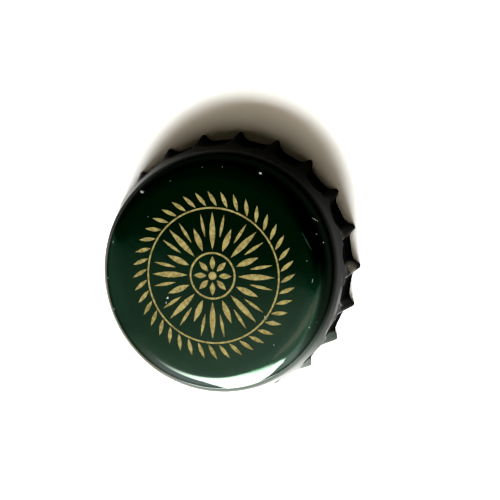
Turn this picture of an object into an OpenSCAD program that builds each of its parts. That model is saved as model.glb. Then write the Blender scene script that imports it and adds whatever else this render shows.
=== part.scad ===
// Crown bottle cap, opened and set down with its panel up.
//
// Millimetres. The origin lies on the resting plane at the middle of the rim, +Z runs up
// through the panel. One flute tip points along +X, and the print's upright is +Y.
// The shell is one pressed sheet: flat panel, rolled shoulder, cone, and a skirt whose
// valleys are pressed in below a crisp ledge while the ridges run on along the cone.
// The skirt was levered open on one side, so the panel's axis stands off the rim's middle.

/* [Shell] */
// thickness of the tinplate sheet
sheet_t = 0.24; // [0.2:0.01:0.28]
// height over all of the shell
cap_h = 6.0; // [5.8:0.1:6.4]
// diameter of the flat panel
panel_d = 20.6; // [19.6:0.2:21.2]
// diameter that the shoulder's curve would reach if it ran on to the vertical
shoulder_d = 26.8; // [26.6:0.1:27.2]
// outer radius of the shoulder's curve
shoulder_r = 1.9; // [1.7:0.1:2.1]
// slope at which the panel's soft roll meets the shoulder's curve, degrees
roll_deg = 7.6; // [5:0.2:9]

/* [Skirt] */
// number of flutes round the skirt
flute_count = 21; // [18:1:24]
// diameter over the flute tips at the rim
tip_d = 29.8; // [29.4:0.1:30.4]
// diameter over the valleys at the rim
valley_d = 27.9; // [27.6:0.1:28.2]
// diameter over the valleys where they are pressed in most
waist_d = 26.9; // [26.7:0.1:27.1]
// height of that narrowest place above the rim
waist_h = 2.0; // [1.8:0.1:2.2]
// height of the ledge where the valleys leave the cone
ledge_h = 3.0; // [2.8:0.1:3.2]
// height over which a valley falls in below the ledge
ledge_fall = 0.18; // [0.12:0.02:0.24]
// width of a ridge at half its depth, at the rim
ridge_w = 1.0; // [0.8:0.04:1.04]
// how much wider a ridge is at the ledge
ridge_spread = 0.5; // [0.3:0.1:0.7]
// how sharply a ridge's flanks fall away
ridge_power = 3.0; // [2.4:0.1:3.2]
// how far levering the cap off moved the rim along X from the panel's axis
lean_x = 0.49; // [0:0.01:0.6]
// how far it moved the rim along Y
lean_y = 0.89; // [0:0.01:1.0]
// how far the lever pulled the shoulder out on its side
pull_r = 0.8; // [0:0.05:0.9]
// heading of the side that the lever pulled, degrees from +X
pull_deg = 50; // [0:5:90]

/* [Liner] */
// thickness of the membrane under the panel
membrane_t = 0.3; // [0.2:0.05:0.4]
// thickness of the sealing ring at the bottle's lip
ring_t = 1.0; // [0.8:0.05:1.1]
// inner diameter of the ring's flat sealing land
land_in_d = 19.6; // [19:0.2:20]
// outer diameter of the ring's flat sealing land
land_out_d = 24.4; // [24:0.1:24.6]
// width of the ring's inner slope
ring_slope = 0.5; // [0.3:0.1:0.6]
// clearance between the liner and the shell's curve
liner_fit = 0.04; // [0.02:0.01:0.08]

/* [Print] */
// thickness of the gold ink
ink_t = 0.03; // [0.02:0.01:0.06]
// outer diameter of the printed rosette
rosette_d = 18.4; // [16:0.2:19.4]
// number of strokes in the rosette's outer ring
border_count = 40; // [32:4:48]
// number of long rays
ray_count = 16; // [12:4:20]
// width of a border stroke
stroke_w = 0.44; // [0.3:0.02:0.5]
// diameter of the dot at the rosette's middle
hub_d = 0.9; // [0.6:0.1:1.2]

/* [Hidden] */
// columns of the skirt within one flute, as parts of the pitch, ridge at 0
u_steps = [-0.28, -0.15, -0.085, -0.04, 0, 0.04, 0.085, 0.15, 0.28, 0.5];
cols = flute_count * len(u_steps);
col_deg = [for (k = [0 : flute_count - 1]) for (u = u_steps) (k + u) * 360 / flute_count];

// shoulder circle, and the roll that leads to it from the flat panel
arc_r = shoulder_d / 2 - shoulder_r;
roll_end = arc_r + shoulder_r * sin(roll_deg);
roll_drop = tan(roll_deg) * (roll_end - panel_d / 2) / 2;
arc_z = cap_h - roll_drop - shoulder_r * cos(roll_deg);

// the cone is the tangent from the flute tips to the shoulder's curve
tip_dr = tip_d / 2 - arc_r;
tip_dist = sqrt(tip_dr * tip_dr + arc_z * arc_z);
arc_end = atan2(tip_dr, -arc_z) - acos(shoulder_r / tip_dist);
cone_deg = 90 - arc_end;
cone_top = arc_z + shoulder_r * cos(arc_end);
wall_dr = sheet_t / cos(cone_deg);
ledge_d = tip_d - 2 * ledge_h * tan(cone_deg);

// a ridge's inner side is narrower than its outer side by the sheet that wraps it
wrap_w = 1.3 * sheet_t;

function clamp01(x) = max(0, min(1, x));
function cone_at(z) = tip_d / 2 - z * tan(cone_deg);
function roll_at(r) = cap_h - roll_drop * pow((r - panel_d / 2) / (roll_end - panel_d / 2), 2);
function valley_in(z) = (ledge_d - waist_d) / 2 * exp(-(ledge_h - z) / ledge_fall);
function valley_out(z) = (valley_d - waist_d) / 2 * pow(max(0, (waist_h - z) / waist_h), 1.6);
function valley_at(z) = z >= ledge_h ? cone_at(z) : waist_d / 2 + valley_in(z) + valley_out(z);

// distance from the nearest ridge line, along the skirt
function ridge_u(deg) = let (p = deg * flute_count / 360) abs(p - round(p));
function ridge_y(deg) = ridge_u(deg) * PI * (tip_d + valley_d) / 2 / flute_count;
function ridge_half(z) = (ridge_w + ridge_spread * clamp01(z / ledge_h)) / 2;
function ridge_f(y, half) = 1 / (1 + pow(y / half, ridge_power));

// the skirt's two sides at a height and an angle
function skirt_outer(z, deg) =
    let (v = valley_at(z), c = cone_at(z))
    v + (c - v) * ridge_f(ridge_y(deg), ridge_half(z));
function skirt_inner(z, deg) =
    let (v = valley_at(z), c = cone_at(z))
    v + (c - v) * ridge_f(ridge_y(deg), ridge_half(z) - wrap_w / 2) - wall_dr;

// levering moved the rim sideways, and the cone's top not at all
function lean(z) = pow(clamp01((cone_top - z) / cone_top), 1.3);
// it also pulled the shoulder out on one side: nothing at the panel's edge and at the rim
function pull(deg) = pull_r * pow(max(0, cos(deg - pull_deg)), 2);
function ease(x) = let (t = clamp01(x)) t * t * (3 - 2 * t);
function shoulder_share(r) = ease((r - panel_d / 2) / (cone_at(cone_top) - panel_d / 2));
function ring_pt(r, z, deg, share) =
    let (far = r + share * pull(deg))
    [far * cos(deg) + lean_x * (lean(z) - 1), far * sin(deg) + lean_y * (lean(z) - 1), z];

// rows of each skin, from the panel's edge down to the rim
roll_rows = [panel_d / 2, (panel_d / 2 + roll_end) / 2];
arc_out_rows = [for (i = [0 : 5]) roll_deg + (arc_end - roll_deg) * i / 5];
arc_in_rows = [for (i = [0 : 3]) roll_deg + (arc_end - roll_deg) * i / 3];
skirt_out_rows = [ledge_h, ledge_h - 0.12, ledge_h - 0.3, ledge_h - 0.6, 1.7, 1.05, 0.5, 0];
skirt_in_rows = [ledge_h, ledge_h - 0.3, 1.8, 0.9, 0];

function arc_ring(p, radius) =
    let (r = arc_r + shoulder_r * sin(p))
    [for (a = col_deg)
        ring_pt(arc_r + radius * sin(p), arc_z + radius * cos(p), a, shoulder_share(r))];
outer_rings = concat(
    [for (r = roll_rows) [for (a = col_deg) ring_pt(r, roll_at(r), a, shoulder_share(r))]],
    [for (p = arc_out_rows) arc_ring(p, shoulder_r)],
    [for (z = skirt_out_rows) [for (a = col_deg)
        ring_pt(skirt_outer(z, a), z, a, z / cone_top)]]);
inner_r = shoulder_r - sheet_t;
inner_rings = concat(
    [[for (a = col_deg) ring_pt(panel_d / 2, cap_h - sheet_t, a, 0)]],
    [for (p = arc_in_rows) arc_ring(p, inner_r)],
    [for (z = skirt_in_rows) [for (a = col_deg)
        ring_pt(skirt_inner(z, a), z, a, z / cone_top)]]);

// the two skins and the cut edge, as one closed strip of rings
strip = concat(outer_rings, [for (i = [len(inner_rings) - 1 : -1 : 0]) inner_rings[i]]);
strip_points = [for (ring = strip) for (p = ring) p];
function at(i, j) = i * cols + (j % cols);
strip_faces = concat(
    [[for (j = [cols - 1 : -1 : 0]) at(0, j)]],
    [for (i = [0 : len(strip) - 2]) for (j = [0 : cols - 1])
        [at(i, j), at(i, j + 1), at(i + 1, j)]],
    [for (i = [0 : len(strip) - 2]) for (j = [0 : cols - 1])
        [at(i, j + 1), at(i + 1, j + 1), at(i + 1, j)]],
    [[for (j = [0 : cols - 1]) at(len(strip) - 1, j)]]);

module crown_shell() {
    color([0.03, 0.10, 0.06])
        polyhedron(points = strip_points, faces = strip_faces, convexity = 10);
}

// the liner's section: membrane, inner slope, flat land, and a back that follows the shoulder
liner_top = cap_h - sheet_t;
land_z = liner_top - ring_t;
liner_back_r = inner_r - liner_fit;
back_start = roll_deg;
back_end = acos((land_z - arc_z) / liner_back_r);
liner_back = [for (i = [0 : 6])
    let (p = back_end + (back_start - back_end) * i / 6)
    [arc_r + liner_back_r * sin(p), arc_z + liner_back_r * cos(p)]];
liner_section = concat(
    [[0, liner_top - membrane_t],
     [land_in_d / 2 - ring_slope, liner_top - membrane_t],
     [land_in_d / 2, land_z],
     [land_out_d / 2, land_z]],
    liner_back,
    [[panel_d / 2, liner_top],
     [0, liner_top]]);

module sealing_liner() {
    color([0.80, 0.82, 0.80])
        translate([-lean_x, -lean_y, 0])
            rotate_extrude($fn = 160)
                polygon(liner_section);
}

// one printed stroke: a slim leaf shape that runs outward from r0 to r1
function leaf_half(t, w) = w / 2 * sin(180 * t) * (1.15 - 0.3 * t);
module leaf(r0, r1, w) {
    steps = 6;
    up = [for (i = [0 : steps]) [r0 + (r1 - r0) * i / steps, leaf_half(i / steps, w)]];
    down = [for (i = [steps - 1 : -1 : 1]) [r0 + (r1 - r0) * i / steps, -leaf_half(i / steps, w)]];
    polygon(concat(up, down));
}

// a stroke of the slanted border, turned about its own middle
module slanted(r, len, w, slant) {
    translate([r, 0])
        rotate(slant)
            leaf(-len / 2, len / 2, w);
}

module rosette() {
    border_r = rosette_d / 2;
    for (k = [0 : border_count - 1])
        rotate(90 + k * 360 / border_count)
            slanted(border_r - 0.75, 1.9, stroke_w, 32);
    difference() {
        circle(r = border_r - 1.65, $fn = 96);
        circle(r = border_r - 1.83, $fn = 96);
    }
    for (k = [0 : ray_count - 1])
        rotate(90 + k * 360 / ray_count)
            leaf(2.9, k % 2 == 0 ? 7.0 : 5.6, 0.66);
    for (k = [0 : ray_count - 1])
        rotate(90 + (k + 0.5) * 360 / ray_count)
            leaf(4.3, 6.9, 0.34);
    difference() {
        circle(r = 2.62, $fn = 64);
        circle(r = 2.42, $fn = 64);
    }
    for (k = [0 : 7])
        rotate(90 + k * 45)
            leaf(hub_d / 2 + 0.25, 2.15, 0.6);
    circle(d = hub_d, $fn = 48);
}

module gold_print() {
    color([0.72, 0.60, 0.33])
        translate([-lean_x, -lean_y, cap_h])
            linear_extrude(ink_t)
                rosette();
}

// which sub-part to draw

crown_shell();
sealing_liner();
gold_print();
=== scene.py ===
# Opened crown bottle cap on a pale table, seen from above and a little to its right.
#
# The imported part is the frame. The pressed shell is replaced by a finer mesh of the same
# form: a round blank, pressed by the Geometry Nodes tree of press_tree(). The liner and the
# gold print stay as the part has them and only get finishes. Sizes are in millimetres unless
# a comment says otherwise.
import math
from types import SimpleNamespace

import bpy
from mathutils import Matrix, Vector


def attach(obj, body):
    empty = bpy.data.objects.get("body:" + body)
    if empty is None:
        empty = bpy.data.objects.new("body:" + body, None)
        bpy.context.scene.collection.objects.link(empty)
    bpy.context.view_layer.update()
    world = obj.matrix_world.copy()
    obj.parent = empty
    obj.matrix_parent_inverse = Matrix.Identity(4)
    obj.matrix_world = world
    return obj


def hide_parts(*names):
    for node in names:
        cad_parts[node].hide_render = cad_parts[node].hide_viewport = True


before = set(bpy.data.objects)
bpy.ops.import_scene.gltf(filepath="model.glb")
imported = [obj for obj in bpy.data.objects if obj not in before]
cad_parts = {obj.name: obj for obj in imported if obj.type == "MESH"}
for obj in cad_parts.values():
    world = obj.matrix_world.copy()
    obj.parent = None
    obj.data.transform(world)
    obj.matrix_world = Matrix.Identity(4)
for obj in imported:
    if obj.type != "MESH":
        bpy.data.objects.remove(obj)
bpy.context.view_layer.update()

MM = 0.001

# ---------------------------------------------------------------- the cap's own sizes
FLUTES = 21
SHEET = 0.24
HEIGHT = 6.0
PANEL_R = 10.3
SHOULDER_R = 1.9
SHOULDER_REACH = 13.4
ROLL = math.radians(7.6)
TIP_R = 14.9
VALLEY_R = 13.95
WAIST_R = 13.45
WAIST_H = 2.0
LEDGE_H = 3.0
LEDGE_FALL = 0.18
RIDGE_W = 1.0
RIDGE_SPREAD = 0.5
LEAN = (0.49, 0.89)
PULL = 0.8
PULL_HEADING = math.radians(50)

# how sharply each of these forms sets in
FALL_POWER = 1.25
FLARE_POWER = 1.6
RIDGE_POWER = 3.0
LEAN_POWER = 1.3
PULL_POWER = 2.0
# how many sheets a ridge is narrower inside than outside
WRAP = 1.3

# where the shoulder's curve is, and the cone from it to the tips
ARC_R = SHOULDER_REACH - SHOULDER_R
ROLL_END = ARC_R + SHOULDER_R * math.sin(ROLL)
ROLL_DROP = math.tan(ROLL) * (ROLL_END - PANEL_R) / 2
ARC_Z = HEIGHT - ROLL_DROP - SHOULDER_R * math.cos(ROLL)
TIP_REACH = math.hypot(TIP_R - ARC_R, ARC_Z)
ARC_END = math.atan2(TIP_R - ARC_R, -ARC_Z) - math.acos(SHOULDER_R / TIP_REACH)
CONE = math.pi / 2 - ARC_END
CONE_TOP = ARC_Z + SHOULDER_R * math.cos(ARC_END)
LEDGE_R = TIP_R - LEDGE_H * math.tan(CONE)
WALL = SHEET / math.cos(CONE)

# ---------------------------------------------------------------- mesh density
COLUMNS_PER_FLUTE = 24
COLUMNS = FLUTES * COLUMNS_PER_FLUTE
OUTER_ARC_STEPS = 12
INNER_ARC_STEPS = 8
# rows as shares of the way: out over the panel, down its roll, and back in underneath
PANEL_ROWS = (0.25, 0.5, 0.75, 1.0)
ROLL_ROWS = (0.25, 0.5, 0.75)
UNDERSIDE_ROWS = (1.0, 0.5)
# heights of the rows on the skirt's outer skin, closest at the ledge, and on its inner skin
OUTER_ROWS = (
    4.2, 4.0, 3.8, 3.65, 3.5, 3.4, 3.3, 3.2, 3.1, 3.05, LEDGE_H, 2.94, 2.88, 2.82, 2.75,
    2.66, 2.55, 2.4, 2.2, 1.95, 1.65, 1.3, 1.0, 0.7, 0.4, 0.2, 0.08,
)
INNER_ROWS = (0.3, 0.7, 1.1, 1.6, 2.0, 2.3, 2.55, 2.7, 2.85, LEDGE_H, 3.4, 3.9)

# faces of the blank carry one of these, and the finish follows from it
LACQUERED, BARE_INSIDE, CUT_EDGE = 0, 1, 2

# ---------------------------------------------------------------- the lacquer
# its two shades, the bronzed one low on the shoulder's -X side, the near-black dull one
# that paints shade on the +Y flank and in the recesses, and the tint of its glancing gloss
LACQUER_SHADES = ((0.3, (0.0155, 0.031, 0.0187)), (0.7, (0.0185, 0.037, 0.0223)))
BRONZED = (0.05, 0.038, 0.012)
PAINTED_SHADE_COLOR = (0.0006, 0.0018, 0.001)
EDGE_TINT = (0.42, 0.42, 0.42)

# its gloss, and what is left of it where the lacquer is dull; the lost gloss darkens the
# shaded +Y side and the recesses
GLOSS_IOR = 1.45
DULL_IOR = 1.14
DULLEST_IOR = 1.06
RECESS_IOR = 1.02
GLOSS_ROUGHNESS = 0.06
BARE_ROUGHNESS = 0.46
VARNISH_ROUGHNESS = 0.05

# Its zones, each as (where it begins, where it is full). Three slanted measures tell the
# cap's sides apart: along = y + 0.3 x, far = y - 0.5 x and across = x + 0.35 y.
ALONG_SLANT, FAR_SLANT, ACROSS_SLANT = 0.3, -0.5, 0.35
FLANK_HEIGHT = (5.8, 5.3)
# the flank's +Y side, where the lacquer is dull and near-black: painted shade
SHADED_FLANK_ALONG = (-8.0, 1.0)
FAR_FLANK = (-8.0, 6.0)
TEETH_HEIGHT = (3.0, 2.2)
TEETH_ALONG = (-4.0, -0.5)
# recesses this deep are dull and near-black too: painted shade
RECESS_DEPTH = (0.45, 0.8)
BRONZED_ACROSS = (-9.0, -12.0)
BRONZED_UNDER = (5.65, 5.35)
BRONZED_OVER = (3.9, 4.4)

# The clear varnish over it: on the near shoulder, where its upper edge sinks on the +X side,
# and thinner over the bronzed part.
VARNISH_HEIGHT = (5.97, 5.91)
VARNISH_X = (-10.0, -5.0)
VARNISH_Y = (-5.5, -11.2)
VARNISH_SINKS_FROM = 3.0
VARNISH_SINKS_BY = 0.014
BRONZED_VARNISH = 0.75

# The pale line just over the ledge on the cap's two sides, and the pale brinks of its
# recesses on the +X side, are partly rubbed lacquer and partly painted highlight; neither
# reaches the far side. A spread triple's last number is the most of the lacquer they cover.
NEAR_ALONG = (4.5, -0.5)
LEDGE_LINE_OVER = (3.3, 3.5)
LEDGE_LINE_UNDER = (4.1, 3.8)
LEDGE_LINE_ALONG = (-6.0, 0.5)
LEDGE_LINE_SPREAD = (0.3, 0.7, 0.8)
LEDGE_LINE_COLOR = (0.4, 0.4, 0.4)
BRINK_IN = (0.04, 0.22)
BRINK_OUT = (0.55, 0.3)
BRINK_OVER = (2.0, 2.6)
BRINK_X = (4.0, 9.0)
BRINK_SPREAD = (0.3, 0.6, 0.9)
BRINK_COLOR = (0.42, 0.43, 0.44)

# how far the dark of a recess reaches up over the ledge, as an arch
ARCH_RISE = 0.6
ARCH_BLUR = 0.25
ARCH_CURVE = 2.5

# marks in the lacquer as (x, y, length, width, degrees), seen from above: pale chips and
# dust, fainter ones, and one dull scratch
PALE_MARKS = (
    (-8.7, 8.18, 0.55, 0.24, -12),
    (4.86, 10.38, 0.3, 0.22, 0),
    (10.82, 5.48, 0.75, 0.055, -36),
    (11.76, 3.03, 0.15, 0.12, 0),
    (5.41, -5.26, 0.32, 0.1, 80),
    (6.27, -5.66, 0.42, 0.16, 4),
    (-5.7, -3.54, 0.24, 0.16, 30),
    (-5.88, -4.08, 0.2, 0.11, 60),
)
FAINT_MARKS = (
    (11.0, 3.91, 0.2, 0.16, 0),
    (10.04, 1.05, 0.15, 0.13, 0),
    (10.65, -1.08, 0.36, 0.09, 85),
    (5.6, -5.41, 0.22, 0.09, 70),
    (-7.91, 5.43, 0.14, 0.11, 20),
    (-5.31, 9.43, 0.15, 0.11, 0),
    (-1.64, 10.98, 0.16, 0.1, 0),
    (0.62, 11.0, 0.12, 0.1, 0),
    (6.44, -8.23, 0.14, 0.12, 0),
    (10.3, -6.18, 0.12, 0.12, 0),
    (-12.18, 2.53, 0.2, 0.24, 0),
    (-12.88, -1.58, 0.2, 0.16, 0),
    (-12.22, -5.09, 0.2, 0.16, 0),
    (-9.77, -9.86, 0.22, 0.14, 0),
    (11.06, -5.6, 0.14, 0.1, 0),
)
DULL_SCRATCH = ((10.0, 3.15, 2.3, 0.13, -61),)
# a faint brown streak along the roll of the panel's edge, a painted reflection
ROLL_REFLECTION_STREAK = (
    (7.5, -8.6, 3.4, 0.4, 46),
    (8.53, -7.44, 3.2, 0.45, 54),
    (9.44, -6.17, 3.2, 0.5, 62),
    (10.27, -4.8, 3.2, 0.5, 70),
    (10.9, -3.3, 3.0, 0.4, 78),
)
# how much of the lacquer each kind covers, and its colour
MARK_FINISHES = (
    # the roll streak: a painted reflection
    (ROLL_REFLECTION_STREAK, 0.065, (0.28, 0.21, 0.14)),
    (DULL_SCRATCH, 0.3, (0.05, 0.17, 0.145)),
    (FAINT_MARKS, 0.6, (0.29, 0.36, 0.31)),
    (PALE_MARKS, 0.8, (0.8, 0.82, 0.78)),
)
# the tooth tip that is rubbed bare, as ovals (centre, half sizes): the soiled border, the
# bare sheet inside it and the bright line on its ridge
SCUFF_BORDER = ((13.8, -0.1, 1.0), (0.78, 0.66, 1.4))
SCUFF_SHEET = ((13.8, -0.2, 1.0), (0.7, 0.48, 1.25))
SCUFF_RIDGE = ((14.1, -0.72, 0.9), (0.6, 0.13, 0.8))
BORDER_COLOR = (0.11, 0.097, 0.068)
SHEET_SHADES = ((0.4, (0.13, 0.115, 0.078)), (0.6, (0.36, 0.345, 0.27)))
RIDGE_COLOR = (0.7, 0.67, 0.56)
# an oval's edge, as shares of its half size; how far noise makes it ragged; and half the
# height of an oval that is seen from above
OVAL_EDGE = (1.2, 0.8)
RAGGED_BY = 0.2
THROUGH = 1000.0

# noise as (features per metre, detail) and its middle; the orange peel's strength, and its
# depth in metres
NOISE_MIDDLE = (0.5, 0.5, 0.5)
CLOUD_GRAIN = (260, 4)
BREAKUP_GRAIN = (350, 2)
SHEET_GRAIN = (5000, 2)
RAGGED_GRAIN = (7000, 1)
PEEL_GRAIN = (900, 2)
PEEL_STRENGTH = 0.15
PEEL_DEPTH = 0.00002

# ---------------------------------------------------------------- camera, lamps and table
CAMERA_REACH = 120.0
CAMERA_LEAN = math.radians(15.8)
CAMERA_HEADING = math.radians(22.4)
CAMERA_TARGET = (2.18, 1.42, 0.0)
CAMERA_LENS = 75.7
SENSOR_WIDTH = 36.0
NEAREST_SEEN = 5.0

# lamps as (name, heading, height, size in metres, power, colour): a low key, a weaker warm
# one above it, and a faint fill from straight above, all half a metre off
LAMPS = (
    ("key", -100.7, 36.3, (0.22, 0.146), 3.83, (0.96, 0.99, 1.0)),
    ("above_key", -94.5, 53.6, (0.36, 0.26), 0.563, (1.0, 0.86, 0.66)),
    ("fill", 0, 90, (0.9, 0.9), 0.05, (1.0, 0.8, 0.4)),
)
LAMP_REACH = 0.5

# the table, in metres: its half length, and where it turns plain white for the camera; its
# colour, and how much paler the camera and the gloss see it
TABLE_HALF = 20.0
TABLE_FAR = (0.1, 0.35)
TABLE_COLOR = (0.86, 0.86, 0.85)
SEEN_PALER = 2.4

WHITE = (1.0, 1.0, 1.0)

# The window and the lit room beside it, as headings and heights in degrees.
WINDOW_TOP = (
    (-140, 54), (-132, 56.5), (-123, 61), (-117, 65.3), (-107, 65.8), (-92, 63.5),
    (-78, 55), (-74, 44),
)
WINDOW_SILL = (
    (-140, 52), (-132, 51), (-125, 49.5), (-118, 46), (-113, 39), (-107, 28), (-103, 15),
    (-100, 2), (-85, 3), (-78, 20), (-76, 42),
)
WINDOW_LIGHT = 22.0
STRIP_LIGHT = 20.0
# where the window fades at its left and right, and the bright strip on the floor under it
WINDOW_LEFT = (-142, -118)
WINDOW_RIGHT = (-72, -79)
STRIP_LEFT = (-124, -114)
# in quarter turns: how soft the window's top and sill are, and where the strip ends above
WINDOW_BLUR = 0.012
STRIP_TOP = (0.035, 0.015)
# the room runs round from one of these headings to the other
HEADINGS = (-270, 90)
# how bright the wall is at a heading, as a share of ROOM_LIGHT, and its tint there
ROOM_LIGHT = 3.2
ROOM_SHARES = (
    (-245, 0.0), (-215, 0.26), (-152, 0.26), (-147, 0.36), (-142, 0.44), (-120, 0.55),
    (-95, 0.68), (-86, 0.54), (-78, 0.6), (-66, 0.75), (-60, 0.7), (-56, 0.42),
    (-46, 0.26), (-40, 0.15), (-30, 0.08), (-15, 0.03), (0, 0.0), (20, 0.0),
)
ROOM_TINTS = (
    (-165, (0.72, 1.0, 0.8)),
    (-151, (0.84, 1.0, 0.84)),
    (-143, (1.04, 0.97, 0.88)),
    (-128, (1.05, 1.0, 1.03)),
    (-105, (1.0, 1.0, 1.0)),
    (-80, (0.97, 1.0, 0.95)),
)
# where the wall ends and the dark ceiling begins, by how far a direction tilts from straight
# up: the share of the wall's brightness that is left there, and its tint
CEILING_TILTS = (-0.6, 0.4)
CEILING_SHARES = (
    (-0.5, 0.0), (-0.1, 0.05), (0.0, 0.09), (0.09, 0.16), (0.168, 0.16), (0.188, 0.55),
    (0.21, 0.7), (0.25, 0.88), (0.3, 1.0),
)
CEILING_TINTS = (
    (0.13, (0.1, 1.0, 0.3)),
    (0.16, (0.1, 1.08, 0.5)),
    (0.174, (0.33, 1.08, 0.75)),
    (0.184, (0.5, 1.1, 0.93)),
    (0.195, (0.85, 1.07, 1.02)),
    (0.22, (0.95, 1.04, 1.1)),
)
# how much a direction's X adds to its tilt, and the rise below which tilt grows no more
TILT_SIDEWAYS = 0.2
LEAST_RISE = 0.01
# the heights, in quarter turns, over which the wall fades out at its top and its foot
WALL_TOP = (0.95, 0.89)
WALL_FOOT = (-0.05, 0.35)


# ---------------------------------------------------------------- node helper
class Nodes:
    """Adds nodes to one tree. add() returns the node; sums, steps, ramps and such, an output."""

    def __init__(self, tree):
        self.tree = tree

    def add(self, kind, **settings):
        """One new node with these settings."""
        node = self.tree.nodes.new(kind)
        for name, value in settings.items():
            setattr(node, name, value)
        return node

    def feed(self, socket, value):
        """Links an output to a socket, or sets the socket; a set colour has no alpha."""
        if isinstance(value, bpy.types.NodeSocket):
            self.tree.links.new(value, socket)
        elif isinstance(socket, bpy.types.NodeSocketColor):
            socket.default_value = (*value, 1)
        else:
            socket.default_value = value

    def sums(self, operation, *values):
        """The result of a Math node."""
        node = self.add("ShaderNodeMath", operation=operation)
        for socket, value in zip(node.inputs, values):
            self.feed(socket, value)
        return node.outputs[0]

    def times(self, first, *others):
        product = first
        for value in others:
            product = self.sums("MULTIPLY", product, value)
        return product

    def plus(self, first, second):
        return self.sums("ADD", first, second)

    def minus(self, first, second):
        return self.sums("SUBTRACT", first, second)

    def over(self, first, second):
        return self.sums("DIVIDE", first, second)

    def power(self, base, exponent):
        return self.sums("POWER", base, exponent)

    def larger(self, first, second):
        return self.sums("MAXIMUM", first, second)

    def smaller(self, first, second):
        return self.sums("MINIMUM", first, second)

    def rest_of(self, share):
        """What a share leaves of 1."""
        return self.minus(1.0, share)

    def vector(self, operation, *values):
        """The result of a Vector Math node."""
        node = self.add("ShaderNodeVectorMath", operation=operation)
        for socket, value in zip(node.inputs, values):
            self.feed(socket, value)
        return node.outputs["Value" if operation == "LENGTH" else "Vector"]

    def split(self, vector):
        """The three parts of a vector."""
        node = self.add("ShaderNodeSeparateXYZ")
        self.feed(node.inputs[0], vector)
        return node.outputs

    def place(self):
        """The place on the piece, in metres, as its own coordinates."""
        return self.add("ShaderNodeTexCoord").outputs["Object"]

    def noise(self, scale, detail, output="Fac"):
        """Noise on the piece's own coordinates; scale is in features per metre."""
        node = self.add("ShaderNodeTexNoise")
        self.feed(node.inputs["Scale"], scale)
        self.feed(node.inputs["Detail"], detail)
        self.feed(node.inputs["Vector"], self.place())
        return node.outputs[output]

    def soft_step(self, value, low, high, top=1.0):
        """0 below low, top above high; low may be the larger one, for a falling step."""
        node = self.add("ShaderNodeMapRange", interpolation_type="SMOOTHSTEP")
        falls = low > high
        self.feed(node.inputs["From Min"], high if falls else low)
        self.feed(node.inputs["From Max"], low if falls else high)
        self.feed(node.inputs["To Min"], top if falls else 0.0)
        self.feed(node.inputs["To Max"], 0.0 if falls else top)
        self.feed(node.inputs["Value"], value)
        return node.outputs["Result"]

    def ramp(self, value, stops):
        """A colour ramp over a value; stops are (position, colour)."""
        node = self.add("ShaderNodeValToRGB")
        elements = node.color_ramp.elements
        for element, (position, color) in zip(tuple(elements), (stops[0], stops[-1])):
            element.position = position
            element.color = (*color, 1)
        for position, color in stops[1:-1]:
            elements.new(position).color = (*color, 1)
        self.feed(node.inputs["Fac"], value)
        return node.outputs["Color"]

    def stretched_ramp(self, value, ends, stops):
        """A colour ramp over a value between two ends; stops are (value, colour)."""
        first, last = ends
        along = self.add("ShaderNodeMapRange")
        self.feed(along.inputs["From Min"], first)
        self.feed(along.inputs["From Max"], last)
        self.feed(along.inputs["Value"], value)
        places = [((stop - first) / (last - first), color) for stop, color in stops]
        return self.ramp(along.outputs["Result"], places)

    def mix(self, factor, first, second, kind="RGBA"):
        """The first at factor 0 and the second at 1; kind is RGBA or FLOAT."""
        node = self.add("ShaderNodeMix", data_type=kind)
        self.feed(node.inputs["Factor"], factor)
        self.feed(node.inputs["A"], first)
        self.feed(node.inputs["B"], second)
        return node.outputs["Result"]

    def named(self, name, kind):
        """A named attribute of the mesh, in a Geometry Nodes tree."""
        node = self.add("GeometryNodeInputNamedAttribute", data_type=kind)
        self.feed(node.inputs["Name"], name)
        return node.outputs["Attribute"]


# ---------------------------------------------------------------- camera, light and table
def place_camera():
    """Long lens above the cap, leaning over its +X side, with the print's upright up."""
    away = Vector(
        (
            math.sin(CAMERA_LEAN) * math.cos(CAMERA_HEADING),
            math.sin(CAMERA_LEAN) * math.sin(CAMERA_HEADING),
            math.cos(CAMERA_LEAN),
        )
    )
    side = Vector((0, 1, 0)).cross(away).normalized()
    up = away.cross(side)
    data = bpy.data.cameras.new("camera")
    data.lens = CAMERA_LENS
    data.sensor_width = SENSOR_WIDTH
    data.clip_start = NEAREST_SEEN * MM
    camera = bpy.data.objects.new("camera", data)
    turn = Matrix((side, up, away)).transposed()
    place = (Vector(CAMERA_TARGET) + away * CAMERA_REACH) * MM
    camera.matrix_world = Matrix.Translation(place) @ turn.to_4x4()
    bpy.context.collection.objects.link(camera)
    bpy.context.scene.camera = camera


def direction(heading, height):
    """Unit vector that points to a heading and a height, both in degrees."""
    heading, height = math.radians(heading), math.radians(height)
    level = math.cos(height)
    return Vector((level * math.cos(heading), level * math.sin(heading), math.sin(height)))


def soft_light(name, heading, height, size, power, color):
    """A rectangular soft light that faces the cap and that the gloss doesn't mirror."""
    away = direction(heading, height)
    data = bpy.data.lights.new(name, "AREA")
    data.shape = "RECTANGLE"
    data.size, data.size_y = size
    data.energy = power
    data.color = color
    lamp = bpy.data.objects.new(name, data)
    lamp.location = away * LAMP_REACH
    lamp.rotation_euler = away.to_track_quat("Z", "Y").to_euler()
    lamp.visible_glossy = False
    bpy.context.collection.objects.link(lamp)


def light_the_table():
    """The lamps, and the plain display colours they are set for."""
    for lamp in LAMPS:
        soft_light(*lamp)
    bpy.context.scene.view_settings.view_transform = "Standard"


def greys(stops):
    """Stops of (place, share) as stops of (place, grey)."""
    return [(place, (share,) * 3) for place, share in stops]


def along_the_wall(nodes, heading, stops):
    """A colour that changes with the heading; stops are (degrees, colour)."""
    return nodes.stretched_ramp(heading, HEADINGS, stops)


def outline(nodes, heading, corners):
    """An outline's height at a heading, in quarter turns, from its corners in degrees."""
    heights = [(degrees, height / 90) for degrees, height in corners]
    return along_the_wall(nodes, heading, greys(heights))


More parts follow.
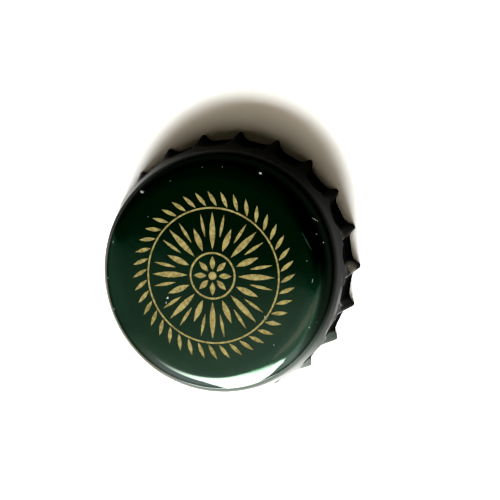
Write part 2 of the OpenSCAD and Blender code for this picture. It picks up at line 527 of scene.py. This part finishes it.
def mirrored_window(nodes, heading, height):
    """The window's light, and the bright strip on the floor under it."""
    under_top = nodes.minus(outline(nodes, heading, WINDOW_TOP), height)
    over_sill = nodes.minus(height, outline(nodes, heading, WINDOW_SILL))
    window = nodes.times(
        nodes.soft_step(under_top, -WINDOW_BLUR, WINDOW_BLUR, WINDOW_LIGHT),
        nodes.soft_step(over_sill, -WINDOW_BLUR, WINDOW_BLUR),
        nodes.soft_step(heading, *WINDOW_LEFT),
        nodes.soft_step(heading, *WINDOW_RIGHT),
    )
    strip = nodes.times(
        nodes.soft_step(height, *STRIP_TOP, STRIP_LIGHT),
        nodes.soft_step(heading, *STRIP_LEFT),
        nodes.soft_step(heading, *WINDOW_RIGHT),
    )
    return nodes.larger(window, strip)


def mirrored_wall(nodes, heading, height, tilt):
    """The lit wall's light, which fades towards the ceiling and the floor."""
    return nodes.times(
        along_the_wall(nodes, heading, greys(ROOM_SHARES)),
        ROOM_LIGHT,
        nodes.stretched_ramp(tilt, CEILING_TILTS, greys(CEILING_SHARES)),
        nodes.soft_step(height, *WALL_TOP),
        nodes.soft_step(height, *WALL_FOOT),
    )


def furnish_the_room():
    """What the gloss lacquer mirrors: a window, the lit wall round it, and a dark room.

    The camera sees plain white instead, and it lights no matt surface.
    """
    world = bpy.data.worlds.new("world")
    world.use_nodes = True
    world.cycles_visibility.diffuse = False
    nodes = Nodes(world.node_tree)
    x, y, z = nodes.split(nodes.add("ShaderNodeTexCoord").outputs["Generated"])
    from_front = nodes.sums("ARCTAN2", x, nodes.times(y, -1.0))
    heading = nodes.minus(nodes.times(from_front, math.degrees(1)), 90.0)
    height = nodes.times(nodes.sums("ARCSINE", z), 2 / math.pi)
    sideways = nodes.times(nodes.sums("ABSOLUTE", x), TILT_SIDEWAYS)
    tilt = nodes.over(nodes.minus(sideways, y), nodes.larger(z, LEAST_RISE))

    window = mirrored_window(nodes, heading, height)
    wall = mirrored_wall(nodes, heading, height, tilt)
    wall_tint = nodes.vector(
        "MULTIPLY",
        along_the_wall(nodes, heading, ROOM_TINTS),
        nodes.stretched_ramp(tilt, CEILING_TILTS, CEILING_TINTS),
    )
    tint = nodes.mix(nodes.smaller(window, 1.0), wall_tint, WHITE)
    seen = nodes.add("ShaderNodeLightPath").outputs["Is Camera Ray"]
    mirrored = nodes.times(nodes.plus(window, wall), nodes.rest_of(seen))
    background = world.node_tree.nodes["Background"].inputs
    nodes.feed(background["Color"], nodes.mix(seen, tint, WHITE))
    nodes.feed(background["Strength"], nodes.larger(mirrored, seen))
    bpy.context.scene.world = world


def table_white():
    """Matt white, which turns plain white far off for the camera."""
    material, nodes, shader = new_material("table_white")
    ray = nodes.add("ShaderNodeLightPath").outputs
    seen = nodes.larger(ray["Is Camera Ray"], ray["Is Glossy Ray"])
    paler = tuple(part * SEEN_PALER for part in TABLE_COLOR)
    nodes.feed(shader["Base Color"], nodes.mix(seen, TABLE_COLOR, paler))
    nodes.feed(shader["Roughness"], 1.0)
    nodes.feed(shader["Specular IOR Level"], 0.0)
    far = nodes.soft_step(nodes.vector("LENGTH", nodes.place()), *TABLE_FAR)
    nodes.feed(shader["Emission Color"], WHITE)
    nodes.feed(shader["Emission Strength"], nodes.times(far, ray["Is Camera Ray"]))
    return material


def make_table():
    """A plain table top under the cap's rim."""
    low, high = -TABLE_HALF, TABLE_HALF
    mesh = bpy.data.meshes.new("table")
    corners = [(low, low, 0), (high, low, 0), (high, high, 0), (low, high, 0)]
    mesh.from_pydata(corners, [], [(0, 1, 2, 3)])
    mesh.materials.append(table_white())
    table = bpy.data.objects.new("table", mesh)
    bpy.context.collection.objects.link(table)


# ---------------------------------------------------------------- finishes
def new_material(name):
    """A material, its nodes, and its shader's input sockets."""
    material = bpy.data.materials.new(name)
    material.use_nodes = True
    shader = material.node_tree.nodes["Principled BSDF"]
    return material, Nodes(material.node_tree), shader.inputs


def mottled(name, grain, shades, settings):
    """A finish whose colour drifts between two shades; settings are for its shader."""
    material, nodes, shader = new_material(name)
    nodes.feed(shader["Base Color"], nodes.ramp(nodes.noise(*grain), shades))
    for socket, value in settings.items():
        nodes.feed(shader[socket], value)
    return material


def tinplate():
    """Varnished tinplate: the shell's unseen inner side."""
    return mottled(
        "tinplate_inside",
        (1500, 3),
        ((0.3, (0.52, 0.50, 0.44)), (0.7, (0.66, 0.64, 0.58))),
        {"Metallic": 0.9, "Roughness": 0.34},
    )


def cut_steel():
    """The sheet's cut edge, dull bare steel."""
    return mottled(
        "cut_steel_edge",
        (4000, 3),
        ((0.35, (0.16, 0.15, 0.14)), (0.7, (0.42, 0.41, 0.39))),
        {"Metallic": 0.85, "Roughness": 0.45},
    )


def gold_ink():
    """Pale gold ink, satin, with a slight mottle."""
    return mottled(
        "gold_ink",
        (2600, 3),
        ((0.3, (0.22, 0.17, 0.056)), (0.7, (0.53, 0.438, 0.17))),
        {"Roughness": 0.55, "Specular IOR Level": 0.0},
    )


def liner_compound():
    """Soft pale moulded compound."""
    return mottled(
        "liner_compound",
        (700, 3),
        ((0.3, (0.56, 0.58, 0.55)), (0.7, (0.68, 0.70, 0.67))),
        {"Roughness": 0.5, "Subsurface Weight": 0.1, "Subsurface Scale": 0.0005},
    )


def lacquer_zones(nodes):
    """Where the lacquer changes: places in mm, and the zones that more than one use needs."""
    x, y, z = (nodes.times(part, 1 / MM) for part in nodes.split(nodes.place()))
    along = nodes.plus(nodes.times(x, ALONG_SLANT), y)
    across = nodes.plus(nodes.times(y, ACROSS_SLANT), x)
    recess = nodes.add("ShaderNodeAttribute", attribute_name="recess").outputs["Fac"]
    flank = nodes.soft_step(z, *FLANK_HEIGHT)
    return SimpleNamespace(
        x=x,
        y=y,
        z=z,
        along=along,
        recess=recess,
        flank=flank,
        # the flank's +Y side, dull and near-black as painted shade
        shaded_flank=nodes.times(flank, nodes.soft_step(along, *SHADED_FLANK_ALONG)),
        deep=nodes.soft_step(recess, *RECESS_DEPTH),
        bronzed=nodes.times(
            nodes.soft_step(across, *BRONZED_ACROSS),
            nodes.soft_step(z, *BRONZED_UNDER),
            nodes.soft_step(z, *BRONZED_OVER),
        ),
    )


def unworn_color(nodes, zone, dull):
    """The lacquer's colour before any marks; near-black painted shade where it is dull."""
    green = nodes.ramp(nodes.noise(*CLOUD_GRAIN), LACQUER_SHADES)
    return nodes.mix(dull, nodes.mix(zone.bronzed, green, BRONZED), PAINTED_SHADE_COLOR)


def unworn_ior(nodes, zone):
    """The gloss: dull on the +Y flank, duller far off and on the teeth, least in recesses."""
    far = nodes.plus(nodes.times(zone.x, FAR_SLANT), zone.y)
    far_flank = nodes.times(zone.flank, nodes.soft_step(far, *FAR_FLANK))
    teeth = nodes.times(
        nodes.soft_step(zone.z, *TEETH_HEIGHT),
        nodes.soft_step(zone.along, *TEETH_ALONG),
    )
    duller = nodes.larger(far_flank, teeth)
    ior = nodes.minus(GLOSS_IOR, nodes.times(zone.shaded_flank, GLOSS_IOR - DULL_IOR))
    ior = nodes.minus(ior, nodes.times(duller, DULL_IOR - DULLEST_IOR))
    return nodes.minus(ior, nodes.times(zone.deep, nodes.minus(ior, RECESS_IOR)))


def skirt_lines(nodes, zone):
    """Pale line over the ledge, pale recess brinks on the +X side: partly painted highlights."""
    near_side = nodes.soft_step(zone.along, *NEAR_ALONG)
    breakup = nodes.noise(*BREAKUP_GRAIN)
    ledge_line = nodes.times(
        nodes.soft_step(zone.z, *LEDGE_LINE_OVER),
        nodes.soft_step(zone.z, *LEDGE_LINE_UNDER),
        nodes.soft_step(breakup, *LEDGE_LINE_SPREAD),
        nodes.soft_step(zone.along, *LEDGE_LINE_ALONG),
        near_side,
    )
    brink = nodes.times(
        nodes.soft_step(zone.recess, *BRINK_IN),
        nodes.soft_step(zone.recess, *BRINK_OUT),
        nodes.soft_step(breakup, *BRINK_SPREAD),
        nodes.soft_step(zone.z, *BRINK_OVER),
        nodes.soft_step(zone.x, *BRINK_X),
        near_side,
    )
    return [(ledge_line, LEDGE_LINE_COLOR), (brink, BRINK_COLOR)]


def ragged_place(nodes):
    """The place on the piece, shifted by noise of a few hundredths of a millimetre."""
    shift = nodes.noise(*RAGGED_GRAIN, output="Color")
    centred = nodes.vector("SUBTRACT", shift, NOISE_MIDDLE)
    return nodes.vector("MULTIPLY_ADD", centred, (RAGGED_BY * MM,) * 3, nodes.place())


def inside_oval(nodes, place, centre, halves, degrees=0.0):
    """1 inside an oval of these half sizes round a centre, both in mm, and 0 outside."""
    fit = nodes.add("ShaderNodeMapping", vector_type="TEXTURE")
    nodes.feed(fit.inputs["Location"], Vector(centre) * MM)
    nodes.feed(fit.inputs["Rotation"], (0, 0, math.radians(degrees)))
    nodes.feed(fit.inputs["Scale"], Vector(halves) * MM)
    nodes.feed(fit.inputs["Vector"], place)
    return nodes.soft_step(nodes.vector("LENGTH", fit.outputs["Vector"]), *OVAL_EDGE)


def marks(nodes, place, ovals, cover):
    """Marks seen from above: how much of the lacquer each one covers."""
    total = 0.0
    for x, y, length, width, degrees in ovals:
        halves = (length / 2, width / 2, THROUGH)
        oval = inside_oval(nodes, place, (x, y, 0.0), halves, degrees)
        total = nodes.larger(oval, total)
    return nodes.times(total, cover)


def tooth_wear(nodes, place):
    """One tooth's tip, rubbed down to a patchy sheet of steel without lacquer."""
    patchy = nodes.ramp(nodes.noise(*SHEET_GRAIN), SHEET_SHADES)
    return [
        (inside_oval(nodes, place, *SCUFF_BORDER), BORDER_COLOR),
        (inside_oval(nodes, place, *SCUFF_SHEET), patchy),
        (inside_oval(nodes, place, *SCUFF_RIDGE), RIDGE_COLOR),
    ]


def varnish_cover(nodes, zone):
    """How much clear varnish lies over the lacquer."""
    aside = nodes.larger(nodes.minus(zone.x, VARNISH_SINKS_FROM), 0.0)
    lifted = nodes.plus(nodes.times(aside, VARNISH_SINKS_BY), zone.z)
    near_shoulder = nodes.times(
        nodes.soft_step(lifted, *VARNISH_HEIGHT),
        nodes.soft_step(zone.x, *VARNISH_X),
        nodes.soft_step(zone.y, *VARNISH_Y),
    )
    return nodes.larger(near_shoulder, nodes.times(zone.bronzed, BRONZED_VARNISH))


def green_lacquer():
    """Very dark green gloss lacquer, dull in the recesses and on the far flank, and marked."""
    material, nodes, shader = new_material("green_lacquer")
    zone = lacquer_zones(nodes)
    # painted shade: on the flank's +Y side and in the recesses the lacquer is dull and near-black
    dull = nodes.larger(zone.shaded_flank, zone.deep)
    ior = unworn_ior(nodes, zone)

    # marks as (mask, colour), the later ones over the earlier ones; the pale lines at the ledge
    # and the recess brinks are partly painted highlights, the roll streak a painted reflection
    place = ragged_place(nodes)
    wear_and_painted_light = skirt_lines(nodes, zone)
    wear_and_painted_light += [(marks(nodes, place, ovals, cover), color) for ovals, cover, color in MARK_FINISHES]
    wear_and_painted_light += tooth_wear(nodes, place)
    color = unworn_color(nodes, zone, dull)
    bare_and_painted = 0.0
    for mask, shade in wear_and_painted_light:
        color = nodes.mix(mask, color, shade)
        bare_and_painted = nodes.larger(mask, bare_and_painted)

    glossy = nodes.rest_of(nodes.larger(dull, bare_and_painted))
    roughened = nodes.times(bare_and_painted, BARE_ROUGHNESS - GLOSS_ROUGHNESS)
    lost_gloss = nodes.times(bare_and_painted, nodes.minus(ior, DULL_IOR))
    nodes.feed(shader["Base Color"], color)
    nodes.feed(shader["Metallic"], glossy)
    nodes.feed(shader["Roughness"], nodes.plus(roughened, GLOSS_ROUGHNESS))
    nodes.feed(shader["IOR"], nodes.minus(ior, lost_gloss))
    nodes.feed(shader["Specular Tint"], EDGE_TINT)
    nodes.feed(shader["Coat Weight"], nodes.times(varnish_cover(nodes, zone), glossy))
    nodes.feed(shader["Coat Roughness"], VARNISH_ROUGHNESS)
    peel = nodes.add("ShaderNodeBump")
    nodes.feed(peel.inputs["Strength"], PEEL_STRENGTH)
    nodes.feed(peel.inputs["Distance"], PEEL_DEPTH)
    nodes.feed(peel.inputs["Height"], nodes.noise(*PEEL_GRAIN))
    nodes.feed(shader["Normal"], peel.outputs["Normal"])
    return material


# ---------------------------------------------------------------- the pressed shell
def shoulder_share(radius):
    """How much of the lever's pull reaches this radius: 0 on the panel, 1 at the cone."""
    far = ARC_R + SHOULDER_R * math.sin(ARC_END)
    t = max(0.0, min(1.0, (radius - PANEL_R) / (far - PANEL_R)))
    return t * t * (3 - 2 * t)


def arc_rows(radius, start, end, steps, finish):
    """Rows on the shoulder's curve, at this radius, from one slope to another."""
    rows = []
    for i in range(steps + 1):
        slope = start + (end - start) * i / steps
        share = shoulder_share(ARC_R + SHOULDER_R * math.sin(slope))
        row = (ARC_R + radius * math.sin(slope), ARC_Z + radius * math.cos(slope))
        rows.append((*row, finish, share))
    return rows


def cone_rows(heights, finish):
    """Rows on the cone from the shoulder to the tips, at these heights."""
    return [(TIP_R - z * math.tan(CONE), z, finish, z / CONE_TOP) for z in heights]


def blank_rows():
    """The blank's section as (radius, height, finish below, share of the pull)."""
    rows = [(PANEL_R * part, HEIGHT, LACQUERED, 0.0) for part in PANEL_ROWS]
    for step in ROLL_ROWS:
        radius = PANEL_R + (ROLL_END - PANEL_R) * step
        z = HEIGHT - ROLL_DROP * step * step
        rows.append((radius, z, LACQUERED, shoulder_share(radius)))
    rows += arc_rows(SHOULDER_R, ROLL, ARC_END, OUTER_ARC_STEPS, LACQUERED)
    rows += cone_rows(OUTER_ROWS, LACQUERED)
    rows.append((TIP_R, 0.0, CUT_EDGE, 0.0))
    rows.append((TIP_R, 0.0, BARE_INSIDE, 0.0))
    rows += cone_rows(INNER_ROWS, BARE_INSIDE)
    rows += arc_rows(SHOULDER_R - SHEET, ARC_END, ROLL, INNER_ARC_STEPS, BARE_INSIDE)
    rows += [(PANEL_R * part, HEIGHT - SHEET, BARE_INSIDE, 0.0) for part in UNDERSIDE_ROWS]
    return rows


def blank_faces(rows, centre):
    """The faces from ring to ring and to both middles, and each one's finish."""

    def at(i, j):
        return 1 + i * COLUMNS + j % COLUMNS

    faces = [(0, at(0, j), at(0, j + 1)) for j in range(COLUMNS)]
    finishes = [LACQUERED] * COLUMNS
    last = len(rows) - 1
    for i in range(last):
        for j in range(COLUMNS):
            faces.append((at(i, j), at(i + 1, j), at(i + 1, j + 1), at(i, j + 1)))
            finishes.append(rows[i][2])
    faces += [(at(last, j + 1), at(last, j), centre) for j in range(COLUMNS)]
    finishes += [BARE_INSIDE] * COLUMNS
    return faces, finishes


def make_blank():
    """The round blank: both skins and the cut edge, before the flutes are pressed."""
    rows = blank_rows()
    edge = next(i for i, row in enumerate(rows) if row[2] == BARE_INSIDE)
    vertices = [(0.0, 0.0, HEIGHT * MM)]
    inner_skin = [0.0]
    shares = [0.0]
    for i, (radius, z, _, share) in enumerate(rows):
        for j in range(COLUMNS):
            angle = 2 * math.pi * j / COLUMNS
            vertices.append((radius * math.cos(angle) * MM, radius * math.sin(angle) * MM, z * MM))
            inner_skin.append(1.0 if i >= edge else 0.0)
            shares.append(share)
    vertices.append((0.0, 0.0, (HEIGHT - SHEET) * MM))
    inner_skin.append(1.0)
    shares.append(0.0)
    faces, finishes = blank_faces(rows, len(vertices) - 1)

    mesh = bpy.data.meshes.new("shell_blank")
    mesh.from_pydata(vertices, [], faces)
    for name, kind, domain, values in (
        ("inner_skin", "FLOAT", "POINT", inner_skin),
        ("pull_share", "FLOAT", "POINT", shares),
        ("finish", "INT", "FACE", finishes),
    ):
        mesh.attributes.new(name, kind, domain).data.foreach_set("value", values)
    return bpy.data.objects.new("crown_shell_pressed", mesh)


PRESS_SIZES = {
    "Flutes": FLUTES,
    "Tip Radius": TIP_R * MM,
    "Valley Radius": VALLEY_R * MM,
    "Waist Radius": WAIST_R * MM,
    "Waist Height": WAIST_H * MM,
    "Flare Power": FLARE_POWER,
    "Ledge Height": LEDGE_H * MM,
    "Ledge Radius": LEDGE_R * MM,
    "Ledge Fall": LEDGE_FALL * MM,
    "Fall Power": FALL_POWER,
    "Ridge Width": RIDGE_W * MM,
    "Ridge Spread": RIDGE_SPREAD * MM,
    "Ridge Power": RIDGE_POWER,
    "Panel Radius": PANEL_R * MM,
    "Cone Slope": math.tan(CONE),
    "Sheet": SHEET * MM,
    "Wrap": WRAP,
    "Wall": WALL * MM,
    "Lean X": LEAN[0] * MM,
    "Lean Y": LEAN[1] * MM,
    "Lean Height": CONE_TOP * MM,
    "Lean Power": LEAN_POWER,
    "Pull": PULL * MM,
    "Pull Heading": PULL_HEADING,
    "Pull Power": PULL_POWER,
    "Arch Rise": ARCH_RISE * MM,
    "Arch Blur": ARCH_BLUR * MM,
    "Arch Curve": ARCH_CURVE,
}
# in metres: a hair's breadth over the ledge, and the least radius to divide by
HAIR = 1e-7
LEAST_RADIUS = 1e-6
# how far off a face's finish number may be
FINISH_MARGIN = 0.1


def valley_radius(nodes, given, z):
    """The outer skin's radius in a valley: a quick fall under the ledge, a waist, a flare."""
    below = nodes.larger(nodes.minus(given["Ledge Height"], z), 0.0)
    fall = nodes.power(nodes.over(below, given["Ledge Fall"]), given["Fall Power"])
    fall = nodes.sums("EXPONENT", nodes.times(fall, -1.0))
    step = nodes.minus(given["Ledge Radius"], given["Waist Radius"])
    pressed = nodes.plus(given["Waist Radius"], nodes.times(step, fall))
    low = nodes.larger(nodes.minus(given["Waist Height"], z), 0.0)
    low = nodes.power(nodes.over(low, given["Waist Height"]), given["Flare Power"])
    flare = nodes.minus(given["Valley Radius"], given["Waist Radius"])
    return nodes.plus(pressed, nodes.times(flare, low))


def ridge_nearness(nodes, given, heading, z, inner):
    """How near a point is to a ridge: 1 on the ridge line, 0 in the valley."""
    pitch = nodes.times(nodes.over(heading, 2 * math.pi), given["Flutes"])
    aside = nodes.sums("ABSOLUTE", nodes.minus(pitch, nodes.sums("ROUND", pitch)))
    around = nodes.times(nodes.plus(given["Tip Radius"], given["Valley Radius"]), math.pi)
    aside = nodes.times(aside, nodes.over(around, given["Flutes"]))
    spread = nodes.times(given["Ridge Spread"], nodes.over(z, given["Ledge Height"]))
    width = nodes.plus(given["Ridge Width"], spread)
    wrap = nodes.times(inner, nodes.times(given["Sheet"], given["Wrap"]))
    half = nodes.times(nodes.minus(width, wrap), 0.5)
    steep = nodes.power(nodes.over(aside, half), given["Ridge Power"])
    return nodes.over(1.0, nodes.plus(1.0, steep))


def pressed_radius(nodes, given, own, z, inner, ridge):
    """The radius once pressed: fluted under the ledge, on the cone over it, own above that."""
    cone = nodes.minus(given["Tip Radius"], nodes.times(z, given["Cone Slope"]))
    valley = valley_radius(nodes, given, z)
    wall = nodes.times(inner, given["Wall"])
    rise = nodes.times(nodes.minus(cone, valley), ridge)
    skirt = nodes.minus(nodes.plus(valley, rise), wall)
    on_cone = nodes.times(
        nodes.sums("LESS_THAN", z, given["Lean Height"]),
        nodes.sums("GREATER_THAN", own, given["Panel Radius"]),
    )
    on_skirt = nodes.sums("LESS_THAN", z, nodes.plus(given["Ledge Height"], HAIR))
    radius = nodes.mix(on_cone, own, nodes.minus(cone, wall), "FLOAT")
    return nodes.mix(on_skirt, radius, skirt, "FLOAT")


def lever_pull(nodes, given, heading):
    """How far the lever pulled the shoulder out, on its own side."""
    off = nodes.minus(heading, given["Pull Heading"])
    facing = nodes.larger(nodes.sums("COSINE", off), 0.0)
    pull = nodes.times(nodes.power(facing, given["Pull Power"]), given["Pull"])
    return nodes.times(pull, nodes.named("pull_share", "FLOAT"))


def leaning(nodes, given, z):
    """The lean's share: 0 at the rim, which is the origin's height, and -1 at the cone's top."""
    drop = nodes.over(nodes.minus(given["Lean Height"], z), given["Lean Height"])
    drop = nodes.smaller(nodes.larger(drop, 0.0), 1.0)
    return nodes.minus(nodes.power(drop, given["Lean Power"]), 1.0)


def recess_depth(nodes, given, z, ridge):
    """How deep in a recess between two flutes, with an arch for its upper end."""
    arch = nodes.rest_of(nodes.times(ridge, given["Arch Curve"]))
    top = nodes.plus(given["Ledge Height"], nodes.times(given["Arch Rise"], arch))
    under = nodes.plus(nodes.over(nodes.minus(top, z), given["Arch Blur"]), 0.5)
    under = nodes.smaller(nodes.larger(under, 0.0), 1.0)
    return nodes.times(under, nodes.rest_of(ridge))


def paint_by_finish(nodes, geometry, finishes):
    """Gives each face the material that its finish number says."""
    finish = nodes.named("finish", "INT")
    for number, material in finishes.items():
        paint = nodes.add("GeometryNodeSetMaterial")
        nodes.feed(paint.inputs["Geometry"], geometry)
        nodes.feed(paint.inputs["Material"], material)
        picked = nodes.sums("COMPARE", finish, number, FINISH_MARGIN)
        nodes.feed(paint.inputs["Selection"], picked)
        geometry = paint.outputs["Geometry"]
    return geometry


def new_press_tree():
    """An empty Geometry Nodes tree, with a named input for each of the press's sizes."""
    tree = bpy.data.node_groups.new("press_flutes", "GeometryNodeTree")
    face = tree.interface
    face.new_socket("Geometry", in_out="INPUT", socket_type="NodeSocketGeometry")
    for name in PRESS_SIZES:
        face.new_socket(name, in_out="INPUT", socket_type="NodeSocketFloat")
    face.new_socket("Geometry", in_out="OUTPUT", socket_type="NodeSocketGeometry")
    return tree


def press_tree(finishes):
    """Presses flutes into the blank below its ledge, leans the rim, and sets the finishes."""
    tree = new_press_tree()
    nodes = Nodes(tree)
    given = nodes.add("NodeGroupInput").outputs
    x, y, z = nodes.split(nodes.add("GeometryNodeInputPosition").outputs[0])
    inner = nodes.named("inner_skin", "FLOAT")
    heading = nodes.sums("ARCTAN2", y, x)
    own = nodes.sums("SQRT", nodes.plus(nodes.times(x, x), nodes.times(y, y)))
    ridge = ridge_nearness(nodes, given, heading, z, inner)
    radius = pressed_radius(nodes, given, own, z, inner, ridge)
    radius = nodes.plus(radius, lever_pull(nodes, given, heading))
    scale = nodes.over(radius, nodes.larger(own, LEAST_RADIUS))
    lean = leaning(nodes, given, z)
    place = nodes.add("ShaderNodeCombineXYZ")
    for part, sideways in ((x, "X"), (y, "Y")):
        shift = nodes.times(lean, given[f"Lean {sideways}"])
        nodes.feed(place.inputs[sideways], nodes.plus(nodes.times(part, scale), shift))
    nodes.feed(place.inputs["Z"], z)

    keep = nodes.add("GeometryNodeStoreNamedAttribute", data_type="FLOAT", domain="POINT")
    nodes.feed(keep.inputs["Name"], "recess")
    nodes.feed(keep.inputs["Value"], recess_depth(nodes, given, z, ridge))
    nodes.feed(keep.inputs["Geometry"], given["Geometry"])
    move = nodes.add("GeometryNodeSetPosition")
    nodes.feed(move.inputs["Geometry"], keep.outputs["Geometry"])
    nodes.feed(move.inputs["Position"], place.outputs[0])
    whole = nodes.add("GeometryNodeRealizeInstances")
    nodes.feed(whole.inputs["Geometry"], move.outputs["Geometry"])
    out = nodes.add("NodeGroupOutput")
    painted = paint_by_finish(nodes, whole.outputs["Geometry"], finishes)
    nodes.feed(out.inputs["Geometry"], painted)
    return tree


def apply_tree(source, tree, sizes):
    """Runs a Geometry Nodes tree on an object and returns the result as a plain mesh object."""
    bpy.context.collection.objects.link(source)
    modifier = source.modifiers.new("tree", "NODES")
    modifier.node_group = tree
    for socket in tree.interface.items_tree:
        if socket.in_out == "INPUT" and socket.name in sizes:
            modifier[socket.identifier] = float(sizes[socket.name])
    ready = source.evaluated_get(bpy.context.evaluated_depsgraph_get())
    mesh = bpy.data.meshes.new_from_object(ready)
    name = source.name
    source.modifiers.remove(modifier)
    blank = source.data
    bpy.data.objects.remove(source)
    bpy.data.meshes.remove(blank)
    made = bpy.data.objects.new(name, mesh)
    mesh.name = name
    bpy.context.collection.objects.link(made)
    return made


def make_shell():
    """The pressed shell, finer than the part's solid and with its three finishes."""
    finishes = {LACQUERED: green_lacquer(), BARE_INSIDE: tinplate(), CUT_EDGE: cut_steel()}
    shell = apply_tree(make_blank(), press_tree(finishes), PRESS_SIZES)
    for polygon in shell.data.polygons:
        polygon.use_smooth = True
    sharpen_cut_edge(shell.data)
    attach(shell, "root")
    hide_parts("crown_shell")


def sharpen_cut_edge(mesh):
    """Edges between the cut edge and the two skins are sharp."""
    finish = [item.value for item in mesh.attributes["finish"].data]
    sides = {}
    for polygon in mesh.polygons:
        for key in polygon.edge_keys:
            sides.setdefault(key, set()).add(finish[polygon.index])
    sharp = mesh.attributes.new("sharp_edge", "BOOLEAN", "EDGE")
    for edge in mesh.edges:
        sharp.data[edge.index].value = len(sides[edge.key]) > 1


def finish_kept_nodes():
    """The liner and the print keep the part's own solids and get their finishes."""
    for node, material in (("sealing_liner", liner_compound()), ("gold_print", gold_ink())):
        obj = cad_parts[node]
        for place in obj.material_slots:
            place.material = material


# ---------------------------------------------------------------- the scene
place_camera()
light_the_table()
furnish_the_room()
make_table()
make_shell()
finish_kept_nodes()
